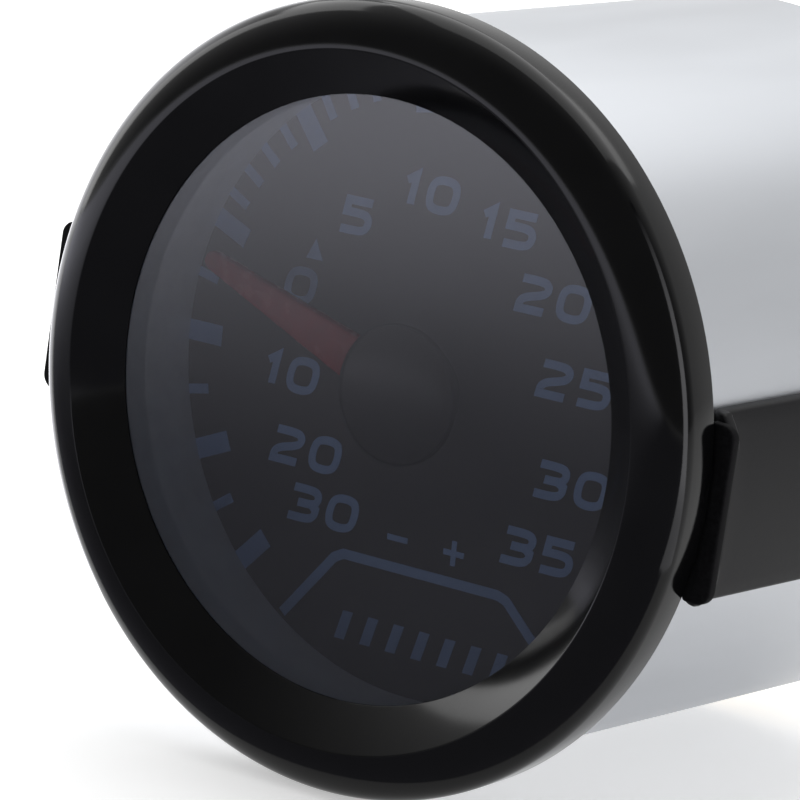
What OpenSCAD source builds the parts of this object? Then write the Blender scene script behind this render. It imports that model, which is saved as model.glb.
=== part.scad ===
// Panel boost gauge: smoked lens, printed dial, geared pressure movement and clamp bracket.
// The dial faces -Y and the gauge's axis is Y. Y is zero on the bezel's back plane, which
// seats on the panel, and depths grow towards the back of the case. Z is up on the dial.

/* [Case] */
// Outer radius of the case, which fills the panel hole
case_r = 26; // [25.6:0.1:30]
// Thickness of the case's sheet metal
case_wall = 0.8; // [0.5:0.05:1.1]
// Distance from the bezel's back plane to the case's rear face
case_depth = 43.4; // [42:0.2:60]

/* [Bezel] */
// How far the bezel's side stands out past the case
bezel_overhang = 1.85; // [1.4:0.05:3]
// Height of the bezel's crest in front of its back plane
bezel_height = 4.9; // [4:0.1:6]
// Height of the bezel's straight side
bezel_side = 2.45; // [1.5:0.05:3]
// Width of the rounded shoulder between the side and the crest
bezel_shoulder = 3.45; // [2:0.05:4]
// Width of the sloping inner face between the crest and the lens
bezel_slope = 3.2; // [2:0.1:4]

/* [Lens and dial] */
// Thickness of the lens
lens_t = 1; // [0.8:0.05:1.5]
// Thickness of the rubber ring behind the lens
gasket_t = 0.4; // [0.3:0.05:0.8]
// Depth of the dial's printed face behind the bezel's back plane
dial_depth = 6; // [5.5:0.1:8]
// Thickness of the dial plate
dial_t = 0.8; // [0.5:0.1:1.2]
// Width of the pale wall between the lens and the dial
spacer_w = 2.6; // [1.5:0.1:4]
// Thickness of the clear plate that spreads light behind the dial
guide_t = 2; // [1.5:0.1:3]
// Number of lamps on the lamp board
lamp_count = 8; // [4:1:12]

/* [Pointer] */
// Direction of the pointer at rest, clockwise from the top of the dial
needle_rest = -71; // [-80:1:-60]
// Direction of the lowest reading, clockwise from the top of the dial
scale_start = -135; // [-140:1:-125]
// Direction of the highest reading, clockwise from the top of the dial
scale_end = 135; // [125:1:140]
// Distance from the gauge's axis to the pointer's tip, in the usual case
needle_r = 19.6; // [15:0.1:21]
// Thickness of the pointer's blade
needle_t = 0.9; // [0.6:0.1:1.2]
// Radius of the round cap over the pointer's hub
cap_r = 5; // [3.5:0.1:7]

/* [Movement] */
// Gear module of the pinion and the sector, in a case of the usual radius
gear_module = 0.4; // [0.38:0.01:0.42]
// Number of teeth on the pinion
pinion_teeth = 10; // [10:1:12]
// Number of teeth that a full wheel of the sector's pitch would have
sector_full_teeth = 60; // [60:1:66]
// Clearance between a shaft and its bearing hole, on the radius
running_gap = 0.04; // [0.02:0.01:0.08]
// Distance between the two movement plates
plate_room = 7; // [6.8:0.1:8]
// Radius of the pillars between the movement plates
pillar_r = 1.4; // [1.2:0.1:1.8]
// Distance from the sector's arbor to the pin that the link pulls, in the usual case
tail_r = 5.5; // [5:0.1:5.8]
// Width of the flattened pressure tube, along the gauge's axis
tube_w = 8; // [6:0.1:9]
// Thickness of the flattened pressure tube, across its bend
tube_t = 2.4; // [2:0.1:2.8]

/* [Rear fittings] */
// Radius of the pressure port's thread
port_r = 5.15; // [4.8:0.05:5.4]
// Length of the port's thread behind its nut
port_length = 7; // [6:0.5:12]
// Distance from the gauge's axis down to the port's axis, in the usual case
port_drop = 15; // [14.6:0.1:15.4]
// Distance from the gauge's axis up to the lead grommet, in the usual case
grommet_rise = 15; // [13.5:0.1:17]
// Radius of the hole through the lead grommet
grommet_bore_r = 2.4; // [1.5:0.1:3]
// Distance from the gauge's axis to each clamp stud, in the usual case
stud_offset = 12; // [10.5:0.1:15]
// Radius of the clamp studs
stud_r = 2; // [1.8:0.1:2.2]

/* [Clamp bracket] */
// Width of the bracket's strap
strap_w = 13.5; // [11:0.1:14]
// Thickness of the bracket's strap
strap_t = 1.1; // [0.8:0.1:1.5]
// Clearance between the case and the bracket's arms, with the bracket centred
arm_gap = 1.4; // [1.3:0.05:2]
// Distance that the bracket's feet stand out past its arms
foot_reach = 1.15; // [1:0.05:3]
// Turn of the bracket about the gauge's axis, clockwise from level
bracket_angle = 3.3; // [0:0.1:6]
// Distance that the bracket slides back for the thickest panel
bracket_travel = 6; // [3:0.5:8]
// Outer radius of the knurled thumb nuts
thumb_r = 4.8; // [4.2:0.1:5.2]

/* [Hidden] */

// Fineness of circles, and the overrun that every cut takes past its faces
$fn = 96;
cut = 0.5;
// Clearances: a curved face beside another, a hand fit, and a push fit within one assembly
side_gap = 0.3;
hand_gap = 0.2;
push_gap = 0.02;

// Bezel and the front flange of the case
roll_t = 0.5;
flange_t = 0.6;
flange_reach = 0.5;
bezel_draft = 0.08;
lip_t = 0.1;
bezel_steps = 16;
case_round_share = 0.875;
case_round = case_wall * case_round_share;
case_in = case_r - case_wall;
flange_r = case_r + flange_reach;
bezel_bore = flange_r + side_gap;
bezel_r = case_r + bezel_overhang;
crest_r = bezel_r - bezel_shoulder;
opening_r = crest_r - bezel_slope;
lens_r = bezel_bore - side_gap;
lens_back = -(roll_t + flange_t + gasket_t);
lens_front = lens_back - lens_t;
inner_r = case_in - hand_gap;
view_r = inner_r - spacer_w;

// The movement and the rear fittings grow with the case: their sizes are for this inner radius
usual_case_in = 25.2;
fit = case_in / usual_case_in;
tooth_module = gear_module * fit;
pull_r = tail_r * fit;
port_low = port_drop * fit;
grommet_high = grommet_rise * fit;
stud_out = stud_offset * fit;
needle_out = needle_r * fit;
usual_link_length = 16.5;
usual_tube_room = 4.2;
usual_socket_w = 12;
usual_socket_under = 2;
usual_socket_step = 3.4;
usual_socket_top_drop = 9;
link_length = usual_link_length * fit;
tube_room = usual_tube_room * fit;
socket_w = usual_socket_w * fit;
socket_under = usual_socket_under * fit;
socket_step = usual_socket_step * fit;
socket_top_drop = usual_socket_top_drop * fit;

// Light box behind the dial, and the bead in the case that carries it
dial_hole_r = 1.5;
housing_wall = 1.2;
lamp_room = 2.2;
lamp_h = 1.6;
lamp_r = 1.4;
board_t = 1.2;
board_hole_r = 8;
ledge_w = 1.2;
bead_t = 0.8;
bead_w = 1;
guide_front = dial_depth + dial_t;
housing_front = guide_front + guide_t;
board_front = housing_front + lamp_room;
housing_back = board_front + board_t + ledge_w;
board_r = inner_r - housing_wall - hand_gap;
lamp_ring_r = (board_hole_r + board_r) / 2;

// Pointer stack, from the dial forwards
needle_over_dial = 3.1;
needle_root_w = 3.7;
needle_tip_w = 1.4;
needle_eye_r = 3;
hub_r = 1.9;
hub_flange_r = 3.4;
hub_t = 1.4;
cap_rim = 0.6;
cap_h = 1.6;
cap_steps = 8;
arbor_r = 0.6;
needle_back = dial_depth - needle_over_dial;
needle_front = needle_back - needle_t;
arbor_front = needle_front + cap_rim;

// Depths of the movement, counted from the light box backwards
movement_gap = 4.6;
plate_t = 1;
arbor_end = 0.1;
gear_clear = 1.4;
rear_in = case_depth - case_wall;
front_plate_front = housing_back + movement_gap;
front_plate_back = front_plate_front + plate_t;
rear_plate_front = front_plate_back + plate_room;
socket_front = rear_plate_front + plate_t;
gear_front = front_plate_back + gear_clear;
sector_t = 1.2;
pinion_over = 0.5;
link_t = 0.8;
link_step = 0.7;
link_front = gear_front + sector_t + link_step;
collet_over = 0.25;
collet_r = 1.1;
spring_front = link_front + link_t + side_gap;
spring_w = 0.6;

// Gears: the sector drives the pinion, which turns the other way
pressure_angle = 25;
pinion_addendum_share = 0.9;
sector_addendum_share = 0.8;
dedendum_share = 1.25;
backlash = 0.12;
full_turn = 360;
flank_steps = 5;
sector_at_angle = 155;
gear_ratio = sector_full_teeth / pinion_teeth;
pinion_pitch_r = tooth_module * pinion_teeth / 2;
sector_pitch_r = tooth_module * sector_full_teeth / 2;
centre_distance = pinion_pitch_r + sector_pitch_r;
middle_travel = (scale_start + scale_end) / 2 - needle_rest;
sector_middle = middle_travel / gear_ratio;
sector_half_swing = (scale_end - scale_start) / 2 / gear_ratio;
sector_turn = sector_at_angle - 180 + sector_middle;
sector_spare_teeth = 1.5;
sector_teeth = 2 * ceil(sector_half_swing / (full_turn / sector_full_teeth) + sector_spare_teeth) + 1;
rim_w = 1.6;
sector_hub_r = 2;
sector_arm_w = 2;
sector_arbor_r = 0.7;
sector_at = polar(centre_distance, sector_at_angle);

// Tail pin, link and the pressure tube's tip
tail_arm_angle = 138;
link_angle = 22.5;
link_lean_angle = 0.7;
pin_r = 0.5;
pin_over = 0.4;
eye_w = 1;
link_w = 2.2;
tube_wall = 0.4;
tube_set_back = 2;
tube_start_angle = 190;
tube_end_angle = 440;
tip_angle = 5;
tip_wrap = 0.4;
tip_arm_w = 2.6;
tip_arm_t = 1.6;
tube_r = case_in - tube_room;
tube_front = rear_plate_front - tube_set_back;
tail_middle_angle = sector_at_angle - 180 + tail_arm_angle;
tail_middle = sector_at + polar(pull_r, tail_middle_angle);
tail_at = sector_at + polar(pull_r, tail_middle_angle + sector_middle);
tip_at = tail_middle + polar(link_length, link_angle);
slot_half_travel = pull_r * sin(sector_half_swing);
slot_drift = pull_r * (1 - cos(sector_half_swing)) / 2;
slot_r = pin_r + slot_drift + side_gap;

// Movement plates, pillars and screws
plate_margin = 1.2;
screw_r = 0.7;
screw_head_r = 1.3;
screw_head_t = 0.8;
screw_length = 3;
screw_end_gap = 0.5;
pillar_place_shares = [[-0.82, 0.22], [0.64, 0.25], [-0.39, -1.04]];
movement_screw_place_shares = [[-0.23, -0.79], [0.11, -1.03]];
pillar_places = pillar_place_shares * centre_distance;
movement_screw_places = movement_screw_place_shares * centre_distance;

// Hairspring around the pointer's arbor
spring_turns = 3.5;
spring_t = 0.12;
spring_out_r = 4.6;
spring_steps = 28;
spring_stud_r = 0.45;

// Pressure socket, port and its nut
socket_pocket_angle = 30;
socket_nose = 2;
neck_gap = 0.5;
port_bore_r = 1.5;
cross_bore_r = 1;
port_chamfer = 0.5;
port_washer_t = 0.6;
port_washer_w = 2.6;
port_nut_t = 2;
port_nut_flats = 14;
port_nut_back = case_depth + port_washer_t + port_nut_t;
port_end = port_nut_back + port_length;
neck_r = port_r - neck_gap;

// Lead grommet
grommet_hole_r = 4;
grommet_flange_w = 1.6;
grommet_flange_t = 1.2;

// Clamp studs, bracket and nuts
stud_head_r = 3.5;
stud_head_t = 1;
stud_nut_flats = 7;
stud_nut_t = 2.4;
bar_round = 2;
pad_t = 0.85;
pad_gap = 0.35;
pad_over = 0.15;
foot_round = 1.6;
foot_inset = 0.6;
bracket_left = 1.1;
bracket_drop = 0.9;
foot_t = 1.2;
bracket_washer_t = 0.8;
bracket_washer_w = 2;
thumb_t = 6;
thumb_collar_t = 1.6;
thumb_collar_w = 1.4;
thumb_gap = 0.1;
knurl_teeth = 28;
knurl_depth = 0.35;
stud_spare = 1;
arm_in_r = case_r + arm_gap;
arm_out_r = arm_in_r + strap_t;
bar_front = port_nut_back + side_gap;
bar_back = bar_front + strap_t;
thumb_front = bar_back + bracket_washer_t + thumb_gap;
stud_end = thumb_front + thumb_t + bracket_travel + stud_spare;
foot_out = arm_out_r + foot_reach;
foot_front = pad_gap + pad_t;
stud_places = [for (side = [180, 0]) polar(stud_out, 90 + bracket_angle + side)];

// A point at a radius and a clockwise angle from the top, as seen from the front
function polar(r, a) = [r * sin(a), r * cos(a)];

// An outline's points the other way round
function reversed(points) = [for (i = [len(points) - 1 : -1 : 0]) points[i]];

// Turns a profile of [radius, depth] about the gauge's axis
module turned() rotate([-90, 0, 0]) rotate_extrude() children();

// Turns a profile about the gauge's axis, from one clockwise angle to another
module turned_part(from, to)
    rotate([0, from - 90, 0]) rotate([-90, 0, 0]) rotate_extrude(angle = to - from) children();

// Gives a flat outline, drawn as seen from the front, a thickness behind a depth
module slab(front, t)
    translate([0, front + t, 0]) rotate([90, 0, 0]) linear_extrude(height = t) children();

// A round rod along the gauge's axis
module rod(r, front, back, at = [0, 0])
    translate([at.x, front, at.y]) rotate([-90, 0, 0]) cylinder(r = r, h = back - front);

// A flat ring about the gauge's axis, or about an axis beside it
module ring(r_out, r_in, front, back, at = [0, 0])
    translate([at.x, 0, at.y]) turned() translate([r_in, front]) square([r_out - r_in, back - front]);

// A straight bar from one point to another, as an outline
module bar_outline(a, b, w)
    translate(a) rotate(atan2(b.y - a.y, b.x - a.x)) translate([0, -w / 2]) square([norm(b - a), w]);

// A flattened tube's cross-section, set at the tube's bend radius
module tube_outline(t, w, grow = 0) {
    half = t / 2 + grow;
    straight = (w - t) / 2;
    translate([tube_r - half, tube_front + w / 2 - straight]) square([2 * half, 2 * straight]);
    for (side = [-1, 1])
        translate([tube_r, tube_front + w / 2 + side * straight]) circle(r = half, $fn = 32);
}

// Involute tooth, centred on the upward direction
function involute_r_angle(base, r) = let (roll = sqrt(max(0, r * r / (base * base) - 1)))
    roll * 180 / PI - atan(roll);
function tooth_half_angle(pitch_r, r) = let (base = pitch_r * cos(pressure_angle))
    90 * (PI * tooth_module / 2 - backlash) / (PI * pitch_r) + involute_r_angle(base, pitch_r)
    - involute_r_angle(base, max(r, base));
function tooth_points(pitch_r, tip_r, root_r, a) = let (start = max(root_r, pitch_r * cos(pressure_angle)),
    rise = [for (i = [0 : flank_steps]) start + (tip_r - start) * i / flank_steps]) concat(
    [polar(root_r, a - tooth_half_angle(pitch_r, start))],
    [for (r = rise) polar(r, a - tooth_half_angle(pitch_r, r))],
    [for (i = [flank_steps : -1 : 0]) polar(rise[i], a + tooth_half_angle(pitch_r, rise[i]))],
    [polar(root_r, a + tooth_half_angle(pitch_r, start))]);

module bezel_ring() color("#141416") turned() polygon(concat(
    [[case_r + side_gap, 0], [bezel_r - bezel_draft, 0]],
    [for (i = [0 : bezel_steps]) let (a = 90 * i / bezel_steps)
        [crest_r + bezel_shoulder * cos(a), -bezel_side - (bezel_height - bezel_side) * sin(a)]],
    [[opening_r, lens_front - lip_t], [opening_r, lens_front], [bezel_bore, lens_front],
     [bezel_bore, -roll_t], [case_r + side_gap, -roll_t]]));

module lens() color("#40404a", 0.5) rod(lens_r, lens_front, lens_back);

module lens_gasket() color("#202020") ring(lens_r, inner_r + side_gap, lens_back, lens_back + gasket_t);

module spacer_ring() color("#b8c0d0") ring(inner_r, view_r, lens_back, dial_depth);

module dial_plate() color("#3c3c46") ring(inner_r, dial_hole_r, dial_depth, guide_front);

module light_guide() color("#e8f0f4", 0.6) ring(inner_r, dial_hole_r, guide_front, housing_front);

module light_housing() color("white") turned() polygon([[inner_r, housing_front], [inner_r, housing_back],
    [board_r - ledge_w, housing_back], [board_r - ledge_w, housing_back - ledge_w],
    [board_r + hand_gap, housing_back - ledge_w], [board_r + hand_gap, housing_front]]);

module lamp_board() color("#1d5a34") ring(board_r, board_hole_r, board_front, board_front + board_t);

module lamps() color("#f4f4e8") for (i = [0 : lamp_count - 1])
    rod(lamp_r, board_front - lamp_h, board_front, polar(lamp_ring_r, full_turn * i / lamp_count));

module case_tube() color("#c8ccd2") turned() polygon([[case_in, -roll_t - flange_t],
    [flange_r, -roll_t - flange_t], [flange_r, -roll_t], [case_r, -roll_t],
    [case_r, case_depth - case_round], [case_r - case_round, case_depth], [case_in, case_depth],
    [case_in, housing_back + bead_t], [case_in - bead_w, housing_back + bead_t],
    [case_in - bead_w, housing_back], [case_in, housing_back]]);

module case_back() color("#c8ccd2") difference() {
    rod(case_in - push_gap, rear_in, case_depth);
    rod(port_r + side_gap, rear_in - cut, case_depth + cut, [0, -port_low]);
    rod(grommet_hole_r, rear_in - cut, case_depth + cut, [0, grommet_high]);
    for (p = stud_places) rod(stud_r + push_gap, rear_in - cut, case_depth + cut, p);
}

module pointer_blade() color("#b02430", 0.7) difference() {
    slab(needle_front, needle_t) rotate(-needle_rest) {
        polygon([[needle_root_w / 2, 0], [needle_tip_w / 2, needle_out - needle_tip_w / 2],
            [-needle_tip_w / 2, needle_out - needle_tip_w / 2], [-needle_root_w / 2, 0]]);
        translate([0, needle_out - needle_tip_w / 2]) circle(r = needle_tip_w / 2, $fn = 32);
        circle(r = needle_eye_r);
    }
    rod(hub_r + push_gap, needle_front - cut, needle_back + cut);
}

module pointer_hub() color("#181818") difference() {
    union() {
        rod(hub_r, needle_front, needle_back);
        rod(hub_flange_r, needle_back, needle_back + hub_t);
    }
    rod(arbor_r + push_gap, arbor_front, needle_back + hub_t + cut);
}

module pointer_cap() color("#101010") turned() polygon(concat([[0, needle_front], [cap_r, needle_front]],
    [for (i = [0 : cap_steps]) let (a = 90 * i / cap_steps)
        [cap_r * cos(a), needle_front - cap_rim - (cap_h - cap_rim) * sin(a)]]));

module pointer_arbor() color("#b8b8bc") rod(arbor_r, arbor_front, socket_front - arbor_end);

module pinion() color("#c8a050") difference() {
    slab(gear_front - pinion_over, sector_t + 2 * pinion_over)
        rotate(-sector_at_angle + middle_travel - full_turn / 2 / pinion_teeth)
            polygon([for (i = [0 : pinion_teeth - 1])
                each tooth_points(pinion_pitch_r, pinion_pitch_r + pinion_addendum_share * tooth_module,
                    pinion_pitch_r - dedendum_share * tooth_module, full_turn * i / pinion_teeth)]);
    rod(arbor_r + push_gap, gear_front - pinion_over - cut, gear_front + sector_t + pinion_over + cut);
}

module hairspring_collet() color("#c8a050") difference() {
    rod(collet_r, spring_front - collet_over, spring_front + spring_w + collet_over);
    rod(arbor_r + push_gap, spring_front - collet_over - cut, spring_front + spring_w + collet_over + cut);
}

// The spring's centre line grows evenly from the collet to the stud
function spring_point(i, edge) = let (share = i / (spring_turns * spring_steps),
    first = collet_r + side_gap)
    polar(first + (spring_out_r - first) * share + edge, full_turn * spring_turns * share - 90);
module hairspring() color("#8890a0") slab(spring_front, spring_w) polygon(concat(
    [for (i = [0 : spring_turns * spring_steps]) spring_point(i, 0)],
    [for (i = [spring_turns * spring_steps : -1 : 0]) spring_point(i, spring_t)]));

module hairspring_stud() color("#c8a050") rod(spring_stud_r, spring_front, rear_plate_front,
    polar(spring_out_r + spring_t + spring_stud_r + push_gap, full_turn * spring_turns - 90));

module plate(front) difference() {
    slab(front, plate_t) hull() {
        for (p = concat(pillar_places, [sector_at, [0, 0]]))
            translate(p) circle(r = pillar_r + plate_margin, $fn = 32);
    }
    rod(arbor_r + running_gap, front - cut, front + plate_t + cut);
    rod(sector_arbor_r + running_gap, front - cut, front + plate_t + cut, sector_at);
}

module front_plate() color("#c8a860") difference() {
    plate(front_plate_front);
    for (p = pillar_places) rod(screw_r + push_gap, front_plate_front - cut, front_plate_back + cut, p);
}

module rear_plate() color("#c8a860") difference() {
    plate(rear_plate_front);
    for (p = movement_screw_places) rod(screw_r + push_gap, rear_plate_front - cut, socket_front + cut, p);
}

module pillars() color("#d0b070") for (p = pillar_places) difference() {
    rod(pillar_r, front_plate_back, rear_plate_front, p);
    rod(screw_r + push_gap, front_plate_back - cut, front_plate_back + screw_length, p);
}

module screw(front, at) {
    rod(screw_head_r, front - screw_head_t, front, at);
    rod(screw_r, front, front + plate_t + screw_length - screw_end_gap, at);
}

module plate_screws() color("#a8a8ac") for (p = pillar_places) screw(front_plate_front, p);

module movement_screws() color("#a8a8ac") for (p = movement_screw_places) screw(rear_plate_front, p);

module sector_outline() {
    tip = sector_pitch_r + sector_addendum_share * tooth_module;
    root = sector_pitch_r - dedendum_share * tooth_module;
    step = full_turn / sector_full_teeth;
    last = (sector_teeth - 1) / 2;
    half = last * step;
    window_r = root - rim_w;
    window_half = half - asin(sector_arm_w / window_r);
    difference() {
        polygon(reversed(concat([[0, 0]],
            [for (i = [-last : last]) each tooth_points(sector_pitch_r, tip, root, i * step)])));
        polygon(reversed(concat([polar(sector_arm_w / sin(half), 0)],
            [for (i = [-last : last]) polar(window_r, window_half * i / last)])));
    }
    circle(r = sector_hub_r);
    bar_outline([0, 0], polar(pull_r, tail_arm_angle), sector_arm_w);
    translate(polar(pull_r, tail_arm_angle)) circle(r = pin_r + eye_w, $fn = 48);
}

module sector_gear() color("#d4b464") difference() {
    slab(gear_front, sector_t) translate(sector_at) rotate(-sector_turn) sector_outline();
    rod(sector_arbor_r + push_gap, gear_front - cut, gear_front + sector_t + cut, sector_at);
    rod(pin_r + push_gap, gear_front - cut, gear_front + sector_t + cut, tail_at);
}

module sector_arbor() color("#b8b8bc")
    rod(sector_arbor_r, front_plate_front, socket_front - arbor_end, sector_at);

module link_pin() color("#b8b8bc") rod(pin_r, gear_front, link_front + link_t + pin_over, tail_at);

module link() color("#d0d0d4") {
    way = link_angle + link_lean_angle;
    slot_in = link_length - slot_half_travel - side_gap - pin_r + slot_r;
    slot_out = link_length + slot_half_travel + side_gap + pin_r - slot_r;
    difference() {
        slab(link_front, link_t) translate(tail_at) rotate(-way) {
            circle(r = pin_r + eye_w, $fn = 48);
            bar_outline([0, 0], [0, slot_in], link_w);
            bar_outline([0, slot_in], [0, slot_out], 2 * (slot_r + eye_w));
            for (d = [slot_in, slot_out]) translate([0, d]) circle(r = slot_r + eye_w, $fn = 48);
        }
        rod(pin_r + running_gap, link_front - cut, link_front + link_t + cut, tail_at);
        slab(link_front - cut, link_t + 2 * cut) translate(tail_at) rotate(-way) {
            bar_outline([0, slot_in], [0, slot_out], 2 * slot_r);
            for (d = [slot_in, slot_out]) translate([0, d]) circle(r = slot_r, $fn = 48);
        }
    }
}

module bourdon_tube() color("#c88a50") turned_part(tube_start_angle, tube_end_angle) difference() {
    tube_outline(tube_t, tube_w);
    tube_outline(tube_t, tube_w, -tube_wall);
}

module tube_tip() color("#c8a050") difference() {
    union() {
        turned_part(tube_end_angle - tip_angle, tube_end_angle + tip_angle)
            translate([tube_r - tube_t / 2 - tip_wrap, tube_front - tip_wrap])
                square([tube_t + 2 * tip_wrap, tube_w + 2 * tip_wrap]);
        slab(tube_front + tip_wrap, tip_arm_t) {
            bar_outline(tip_at, polar(tube_r, tube_end_angle + tip_angle / 2), tip_arm_w);
            translate(tip_at) circle(r = tip_arm_w / 2, $fn = 48);
        }
    }
    turned_part(tube_end_angle - 2 * tip_angle, tube_end_angle) tube_outline(tube_t, tube_w, push_gap);
    rod(pin_r + push_gap, tube_front - cut, tube_front + tip_wrap + tip_arm_t + cut, tip_at);
}

module tip_pin() color("#b8b8bc")
    rod(pin_r, link_front - pin_over, tube_front + tip_wrap + tip_arm_t, tip_at);

module pressure_socket() color("#c8a050") difference() {
    union() {
        translate([-socket_w / 2, tube_front - socket_nose, -tube_r - socket_under])
            cube([socket_w, rear_in - tube_front + socket_nose, socket_under + socket_step]);
        translate([-socket_w / 2, socket_front, -tube_r + socket_step])
            cube([socket_w, rear_in - socket_front, tube_r - socket_step - socket_top_drop]);
        rod(neck_r, rear_in, port_nut_back, [0, -port_low]);
        translate([0, 0, -port_low]) turned() polygon([[0, port_nut_back], [port_r, port_nut_back],
            [port_r, port_end - port_chamfer], [port_r - port_chamfer, port_end], [0, port_end]]);
    }
    rod(port_bore_r, tube_front + tube_w / 2, port_end + cut, [0, -port_low]);
    translate([0, tube_front + tube_w - tube_t, -tube_r]) cylinder(r = cross_bore_r, h = tube_r - port_low);
    turned_part(tube_start_angle - tip_angle, tube_start_angle + socket_pocket_angle)
        tube_outline(tube_t, tube_w, push_gap);
    for (p = movement_screw_places)
        rod(screw_r + push_gap, socket_front - cut, socket_front + screw_length, p);
}

module port_washer() color("#b0b0b4")
    ring(port_r + port_washer_w, neck_r + hand_gap, case_depth, case_depth + port_washer_t, [0, -port_low]);

module hex_nut(flats, bore_r, front, t, at) difference() {
    translate([at.x, front, at.y]) rotate([-90, 30, 0]) cylinder(r = flats / 2 / cos(30), h = t, $fn = 6);
    rod(bore_r, front - cut, front + t + cut, at);
}

module port_nut() color("#c8a050")
    hex_nut(port_nut_flats, neck_r + push_gap, case_depth + port_washer_t, port_nut_t, [0, -port_low]);

module lead_grommet() color("#181818") translate([0, 0, grommet_high]) turned() {
    out = grommet_hole_r + grommet_flange_w;
    neck = grommet_hole_r - push_gap;
    polygon([[grommet_bore_r, rear_in - grommet_flange_t], [out, rear_in - grommet_flange_t], [out, rear_in],
        [neck, rear_in], [neck, case_depth], [out, case_depth], [out, case_depth + grommet_flange_t],
        [grommet_bore_r, case_depth + grommet_flange_t]]);
}

module clamp_studs() color("#b8b8bc") for (p = stud_places) {
    rod(stud_head_r, rear_in - stud_head_t, rear_in, p);
    rod(stud_r, rear_in, stud_end, p);
}

module stud_nuts() color("#c8c8cc") for (p = stud_places)
    hex_nut(stud_nut_flats, stud_r + push_gap, case_depth, stud_nut_t, p);

module strap_slab() translate([-foot_out - cut, 0, -strap_w / 2])
    cube([2 * (foot_out + cut), bar_back + cut, strap_w]);

module bracket_placed() translate([-bracket_left, 0, -bracket_drop])
    rotate([0, bracket_angle, 0]) children();

module foot_outline(grow = 0) {
    half = strap_w / 2 - foot_inset + grow;
    out = foot_out + grow;
    start = arm_in_r + pad_over;
    translate([start, -half]) square([out - foot_round - start, 2 * half]);
    translate([start, foot_round - half]) square([out - start, 2 * (half - foot_round)]);
    intersection() {
        for (side = [-1, 1]) translate([out - foot_round, side * (half - foot_round)])
            circle(r = foot_round, $fn = 48);
        translate([start, -half]) square([out - start, 2 * half]);
    }
}

module clamp_bracket() color("#1c1c1e") difference() {
    bracket_placed() {
        intersection() {
            strap_slab();
            turned() difference() {
                union() {
                    translate([0, foot_front]) square([arm_out_r, bar_back - bar_round - foot_front]);
                    square([arm_out_r - bar_round, bar_back]);
                    translate([arm_out_r - bar_round, bar_back - bar_round]) circle(r = bar_round, $fn = 48);
                }
                translate([0, -cut]) square([arm_in_r, bar_front + cut]);
            }
        }
        for (side = [0, 1]) mirror([side, 0, 0]) slab(foot_front, foot_t) foot_outline();
    }
    for (p = stud_places) rod(stud_r + side_gap, bar_front - cut, bar_back + cut, p);
}

module foot_pads() color("#0c0c0c") bracket_placed()
    for (side = [0, 1]) mirror([side, 0, 0]) slab(pad_gap, pad_t) foot_outline(pad_over);

module bracket_washers() color("#c8c8cc") for (p = stud_places)
    ring(stud_r + side_gap + bracket_washer_w, stud_r + side_gap, bar_back, bar_back + bracket_washer_t, p);

module thumb_nut(at) difference() {
    union() {
        rod(stud_r + thumb_collar_w, thumb_front, thumb_front + thumb_collar_t, at);
        slab(thumb_front + thumb_collar_t, thumb_t - thumb_collar_t) translate(at)
            polygon([for (i = [0 : 2 * knurl_teeth - 1])
                polar(thumb_r - (i % 2) * knurl_depth, 180 * i / knurl_teeth)]);
    }
    rod(stud_r + running_gap, thumb_front - cut, thumb_front + thumb_t + cut, at);
}

module thumb_nut_left() color("#d0b068") thumb_nut(stud_places[0]);

module thumb_nut_right() color("#d0b068") thumb_nut(stud_places[1]);

bezel_ring();
lens();
lens_gasket();
spacer_ring();
dial_plate();
light_guide();
light_housing();
lamp_board();
lamps();
case_tube();
case_back();
pointer_blade();
pointer_hub();
pointer_cap();
pointer_arbor();
pinion();
hairspring_collet();
hairspring();
hairspring_stud();
front_plate();
rear_plate();
pillars();
plate_screws();
movement_screws();
sector_gear();
sector_arbor();
link_pin();
link();
bourdon_tube();
tube_tip();
tip_pin();
pressure_socket();
port_washer();
port_nut();
lead_grommet();
clamp_studs();
stud_nuts();
clamp_bracket();
foot_pads();
bracket_washers();
thumb_nut_left();
thumb_nut_right();
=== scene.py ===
# Panel boost gauge in a white studio. Lengths are in millimetres until a mesh is made.
import math
import bmesh
import bpy
from mathutils import Matrix, Vector


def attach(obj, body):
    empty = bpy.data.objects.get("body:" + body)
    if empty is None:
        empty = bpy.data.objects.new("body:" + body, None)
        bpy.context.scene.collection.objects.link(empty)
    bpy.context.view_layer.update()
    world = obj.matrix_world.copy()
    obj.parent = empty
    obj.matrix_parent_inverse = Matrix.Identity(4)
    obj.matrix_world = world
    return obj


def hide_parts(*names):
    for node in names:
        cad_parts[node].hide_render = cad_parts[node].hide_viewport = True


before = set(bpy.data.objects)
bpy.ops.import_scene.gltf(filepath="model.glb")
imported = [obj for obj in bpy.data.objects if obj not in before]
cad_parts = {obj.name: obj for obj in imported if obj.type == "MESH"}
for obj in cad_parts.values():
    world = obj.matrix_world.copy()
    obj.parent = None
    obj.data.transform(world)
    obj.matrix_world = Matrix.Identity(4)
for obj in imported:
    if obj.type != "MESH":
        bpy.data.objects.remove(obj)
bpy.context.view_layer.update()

MM = 0.001
ROUND = 192

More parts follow.
